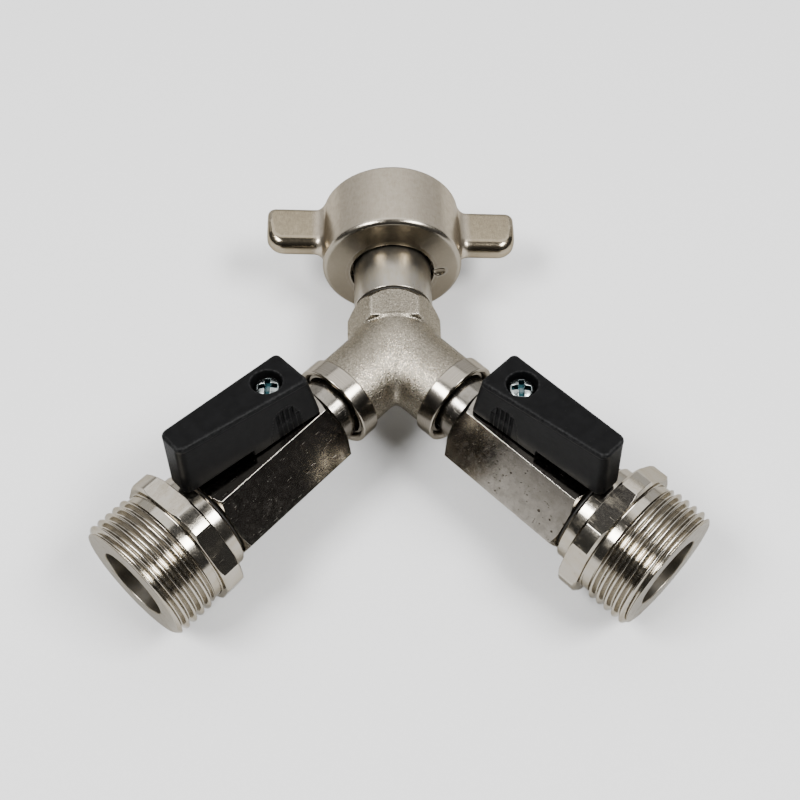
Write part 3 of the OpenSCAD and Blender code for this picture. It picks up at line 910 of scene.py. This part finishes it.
for side, is_right in SIDES:
    piece(
        side + "_valve_bar", [valve_bar(), stem_boss()],
        outlet_place(is_right), "root", polished_nickel, [side + "_valve_body"],
    )


# ---- Outlet adapters ----

ADAPTER_START, ADAPTER_WAY_R = 46, 5.5
SHOULDER_START, SHOULDER_R, SHOULDER_CHAMFER = 54.9, 10.8, 0.45
FLANGE_START, FLANGE_END = 58.2, 62.5
FLANGE_APOTHEM, FLANGE_CORNER_R = 13.5, 14.4
FLANGE_FACE_R, FLANGE_BEVEL = 13.75, (0.65, 0.5)
RELIEF_R, RELIEF_END = 12.5, 64.45
THREAD_START, THREAD_END = 64.6, 73.56
OUTLET_END, OUTLET_BORE_R, BORE_FLOOR = 73.7, 7.55, 63
FLANGE_TURNS = {"left": 3, "right": 17}


def adapter_shell(flange_turn):
    cut = math.degrees(math.acos(FLANGE_APOTHEM / FLANGE_CORNER_R))
    angles, radius = hex_angles(FLANGE_APOTHEM, turned=flange_turn, cut=cut)
    near_face, near_side = bevel(radius, FLANGE_START, 1, FLANGE_FACE_R, *FLANGE_BEVEL)
    far_face, far_side = bevel(radius, FLANGE_END, -1, FLANGE_FACE_R, *FLANGE_BEVEL)
    before = [
        ((ADAPTER_START, ADAPTER_WAY_R), 0.1), ((ADAPTER_START, JOINT_R), 0.4),
        ((SHOULDER_START, JOINT_R), 0.1), ((SHOULDER_START, SHOULDER_R - SHOULDER_CHAMFER), 0.1),
        ((SHOULDER_START + SHOULDER_CHAMFER, SHOULDER_R), 0.2), ((FLANGE_START, SHOULDER_R), 0.25),
        (near_face, 0.1), (near_side, 0.1), (far_side, 0.1), (far_face, 0.1),
        ((FLANGE_END, RELIEF_R), 0.3), ((RELIEF_END, RELIEF_R), 0.2),
    ]
    after = [
        ((OUTLET_END, THREAD_R - 0.87), 0.12), ((OUTLET_END, OUTLET_BORE_R), 0.25),
        ((BORE_FLOOR, OUTLET_BORE_R), 0.2), ((BORE_FLOOR, ADAPTER_WAY_R), 0.2),
    ]
    loops = ring_loops(before + after, len(angles))
    s = np.arange(THREAD_START, THREAD_END, 0.075)
    thread = thread_radius(s[None], angles[:, None])
    thread = np.minimum(thread, RELIEF_R + (s[None] - THREAD_START + 0.1) * 1.3)
    thread = np.minimum(thread, THREAD_R - np.maximum(0, s[None] - OUTLET_END + 0.85))
    rows = np.stack([np.broadcast_to(s[None], thread.shape), thread], 2)
    split = len(before) * (ROUND_STEPS + 1)
    loops = np.concatenate([loops[:, :split], rows, loops[:, split:]], 1)
    points, quads = columns(angles, loops)
    s, r = points[:, 0], from_x(points)
    crest = ramp(r, THREAD_R - 0.12, THREAD_R - 0.02) * (s > THREAD_START)
    at_cut = np.repeat(ramp(np.abs(off_flat(angles, flange_turn) - cut), 1.2, 0), loops.shape[1])
    on_flange = (slab(s, FLANGE_START, FLANGE_END) < 0.05) * (r > 13)
    masks = np.zeros((len(points), 3))
    # painted shade: the bore is satin and darkened at 0.45
    masks[:, 0] = (r < OUTLET_BORE_R + 0.15) * 1.45
    masks[:, 1] = np.maximum(crest * 0.6, at_cut * on_flange * 0.5)
    # painted light: 1 deep in the thread, which the material paints paler
    masks[:, 2] = ramp(r, THREAD_R - 0.25, THREAD_R - 0.85) * (np.abs(s - 69) < 4.2) * (masks[:, 0] == 0)
    return points, quads, None, masks


for side, is_right in SIDES:
    piece(
        side + "_adapter_turned", [adapter_shell(FLANGE_TURNS[side])],
        outlet_place(is_right), "root", turned_nickel, [side + "_outlet_adapter"],
    )


# ---- Levers ----

LEVER_FOOT = 10.3
LEVER_HEEL, LEVER_TIP = -7.7, 23.6
LEVER_HALF, LEVER_TAPER = 5.1, 0.0637
LEVER_TOP, LEVER_RISE, RISE_FROM = 21.4, 0.1105, -6.4
RECESS_R, RECESS_FLOOR = 3.0, 19.3
TIP_STEP, TIP_FOOT = 8.4, 11.9
HOLLOW, HOLLOW_TOP = [(6.4, -2.8), (20.2, -1.35), (20.2, 1.35), (6.4, 2.8)], 18.9
BOSS_ROOM_R, BOSS_ROOM_TOP = 4.04, 13.7
LIP = 0.09
RIB_PATCH = [(-3.9, 9.0), (4.6, 9.0), (2.6, 17.3), (1.2, 18.1), (-1.0, 17.9), (-2.2, 16.6)]
RIB_GROOVES = ((-2.5, 14.6), (-1.4, 16.9), (-0.3, 17.3), (0.8, 17.5), (1.9, 17.0))
RIB_HALF, RIB_DEPTH = 0.36, 0.17


def lever_half(x, z):
    """Half of a lever's width: it narrows towards the tip and, by its draft, towards the top."""
    return LEVER_HALF - (x - LEVER_HEEL) * LEVER_TAPER - (z - LEVER_FOOT) * 0.008


def lever_field(x, y, z):
    """A lever about its stem, hollow below; a shallow lip runs round under its top."""
    w = np.abs(y)
    up = z - LEVER_FOOT
    over_top = z - LEVER_TOP - (x - RISE_FROM) * LEVER_RISE
    below = ramp(-over_top, 1.0, 1.25)
    half = lever_half(x, z) - LIP * below ** 2 * (3 - 2 * below)
    heel = (LEVER_HEEL + 0.13 * up - x) * 0.992
    tip = (x - LEVER_TIP + 0.10 * up) * 0.995
    shape = both(both((w - half) * 0.997, heel, 1.2), tip, 1.5)
    shape = both(both(shape, over_top * 0.994, 0.7), -up, 0.25)
    from_stem = np.hypot(x, y)
    shape = less(shape, both(from_stem - RECESS_R, RECESS_FLOOR - z, 0.3), 0.25)
    shape = less(shape, both(TIP_STEP - x, z - TIP_FOOT), 0.25)
    shape = less(shape, both(polygon(x, y, HOLLOW), z - HOLLOW_TOP), 0.2)
    shape = less(shape, both(from_stem - BOSS_ROOM_R, z - BOSS_ROOM_TOP))
    # ribs moulded into a sunk patch on each flank
    shape = less(shape, both(polygon(x, z, RIB_PATCH, 0.5), half - 0.08 - w), 0.05)
    depth = RIB_DEPTH * (1 + 1.1 * ramp(z, 13.9, 14.7))
    for middle, high in RIB_GROOVES:
        groove = both(np.abs(x - middle) - RIB_HALF, z - high)
        shape = less(shape, both(groove, half - depth - w), 0.1)
    return shape


def lever_masks(points):
    x, w, z = points[:, 0], np.abs(points[:, 1]), points[:, 2]
    masks = np.zeros((len(points), 3))
    masks[:, 0] = ramp(lever_half(x, z) - LIP - w, 0.06, 0.18) * (w > 3.9) * (np.abs(x) < 4) * (z < 18)
    masks[:, 1] = worn(lever_field, points, 0.3, 0.7, 1.8) * (z > 12.5)
    return masks


points, quads, normals = net(lever_field, (-8.3, -5.7, 9.9), (24.2, 5.7, 25.2), 0.18)
lever_shell = points, quads, normals, lever_masks(points)
for side, is_right in SIDES:
    piece(
        side + "_lever_moulding", [lever_shell],
        lever_place(is_right), side + "_lever", black_nylon, [side + "_lever"],
    )


# ---- Lever screws ----

SCREW_TOP, HEAD_R, DOME_R, SHANK_R = 21.1, 2.55, 5.0, 1.5
CROSS_HALF, CROSS_REACH, CROSS_FLOOR = 0.56, 2.1, 19.8
SCREW_TURNS = {"left": 48, "right": 42}


def screw_field(x, y, z):
    """A domed screw about its own axis; its cross narrows as it goes down."""
    r = np.hypot(x, y)
    dome = np.sqrt(x * x + y * y + (z - SCREW_TOP + DOME_R) ** 2) - DOME_R
    head = both(both(r - HEAD_R, RECESS_FLOOR - z, 0.2), dome, 0.4)
    shape = either(head, both(r - SHANK_R, slab(z, 11.5, 19.6), 0.2))
    down = SCREW_TOP - z
    for a, b in ((x, y), (y, x)):
        slot = np.maximum(np.abs(b) - (CROSS_HALF - 0.08 * down), np.abs(a) - (CROSS_REACH - 0.5 * down))
        shape = less(shape, both(slot, CROSS_FLOOR - z), 0.08)
    return shape


def screw_masks(points):
    x, y, z = np.abs(points[:, 0]), np.abs(points[:, 1]), points[:, 2]
    half, reach = CROSS_HALF - 0.02, CROSS_REACH - 0.05
    cross = np.minimum(np.maximum(y - half, x - reach), np.maximum(x - half, y - reach))
    masks = np.zeros((len(points), 3))
    # painted shade: 1 down in the cross, which the material darkens
    masks[:, 0] = ramp(cross, 0.04, -0.04) * ramp(z, SCREW_TOP - 0.15, SCREW_TOP - 0.27) * (z > 19.5)
    masks[:, 1] = worn(screw_field, points, 0.12, 1.2, 3.7)
    return masks


points, quads, normals = net(screw_field, (-2.75, -2.75, 11.3), (2.75, 2.75, 21.4), 0.09)
screw_shell = points, quads, normals, screw_masks(points)
for side, is_right in SIDES:
    piece(
        side + "_screw_head", [screw_shell], lever_place(is_right) @ turn("Z", SCREW_TURNS[side]),
        side + "_lever", zinc_steel, [side + "_lever_screw"],
    )


# ---- Finishes of the small parts that stay as they are ----

for entry in frame["record"]["subparts"]:
    if entry["material_slot"] in inner_materials:
        shown = frame["nodes"][entry["node"]]
        shown.data.materials.clear()
        shown.data.materials.append(inner_materials[entry["material_slot"]])


# ---- Floor, light and camera: metres, and degrees for directions ----

FLOOR_REACH = 2
LIGHT_AIM = Vector((0, -0.04, 0))
# Each softbox: azimuth and elevation, distance, width and height, watts.
SOFTBOXES = {
    "left_softbox": (-112, 55, 0.8, 0.38, 0.22, 11.5),
    "right_softbox": (112, 55, 0.8, 0.38, 0.22, 11.5),
    "back_softbox": (0, 62, 0.9, 1.5, 0.62, 7.2),
    "backdrop": (0, 20, 0.9, 2.6, 0.64, 5.2),
}
WORLD_GREY = 0.066
LENS_MM, SENSOR_MM = 50.52, 36
CAMERA_AT = Vector((-0.004888, -0.17459, 0.195157))
YAW, PITCH_DOWN, ROLL = 0.043, 0.978, 0.018  # radians


def make_floor():
    """A pale floor with painted shade that darkens it away from the part, so that it doesn't whiten every
    reflection.
    """
    g = Graph("pale_floor")
    place = g.node("TexCoord").outputs["Object"]
    fine = g.noise(place, 900.0, 3.0, 0.6)
    far = g.node("VectorMath", {0: place}, operation="LENGTH").outputs["Value"]
    pale = g.blend(fine, (0.60, 0.60, 0.60), (0.64, 0.64, 0.64))
    # painted shade: the colour falls from pale to dark grey between 0.22 m and 0.55 m from the middle,
    # standing in for light falling off away from the part
    g.put(Base_Color=g.blend(g.span(far, 0.22, 0.55), pale, (0.30, 0.29, 0.28)), Roughness=0.8)
    mesh = bpy.data.meshes.new("floor")
    corners = [(FLOOR_REACH * x, FLOOR_REACH * y, 0) for x, y in ((-1, -1), (1, -1), (1, 1), (-1, 1))]
    mesh.from_pydata(corners, [], [(0, 1, 2, 3)])
    mesh.materials.append(g.material)
    floor = bpy.data.objects.new("floor", mesh)
    floor.location.z = cad_box[0][2] - 0.0001
    bpy.context.scene.collection.objects.link(floor)


def softbox(name, azimuth, elevation, distance, width, height, power):
    """An area light that faces the part, azimuth degrees round from +Y towards +X."""
    light = bpy.data.lights.new(name, "AREA")
    light.shape = "RECTANGLE"
    light.size, light.size_y = width, height
    light.energy = power
    a, e = math.radians(azimuth), math.radians(elevation)
    toward = Vector((math.sin(a) * math.cos(e), math.cos(a) * math.cos(e), math.sin(e)))
    thing = bpy.data.objects.new(name, light)
    thing.location = LIGHT_AIM + toward * distance
    thing.rotation_euler = toward.to_track_quat("Z", "Y").to_euler()
    bpy.context.scene.collection.objects.link(thing)


def make_world():
    world = bpy.data.worlds.new("studio")
    world.use_nodes = True
    background = world.node_tree.nodes["Background"]
    background.inputs["Color"].default_value = (WORLD_GREY, WORLD_GREY, WORLD_GREY, 1)
    bpy.context.scene.world = world


def make_camera():
    camera = bpy.data.cameras.new("camera")
    camera.lens, camera.sensor_width = LENS_MM, SENSOR_MM
    camera.clip_start = 0.01
    thing = bpy.data.objects.new("camera", camera)
    flat = math.cos(PITCH_DOWN)
    ahead = Vector((math.sin(YAW) * flat, math.cos(YAW) * flat, -math.sin(PITCH_DOWN)))
    level = Vector((math.cos(YAW), -math.sin(YAW), 0))
    rise = level.cross(ahead)
    across = math.cos(ROLL) * level + math.sin(ROLL) * rise
    upward = math.cos(ROLL) * rise - math.sin(ROLL) * level
    pose = Matrix((across, upward, -ahead)).transposed().to_4x4()
    pose.translation = CAMERA_AT
    thing.matrix_world = pose
    bpy.context.scene.collection.objects.link(thing)
    bpy.context.scene.camera = thing


make_floor()
for name, values in SOFTBOXES.items():
    softbox(name, *values)
make_world()
make_camera()
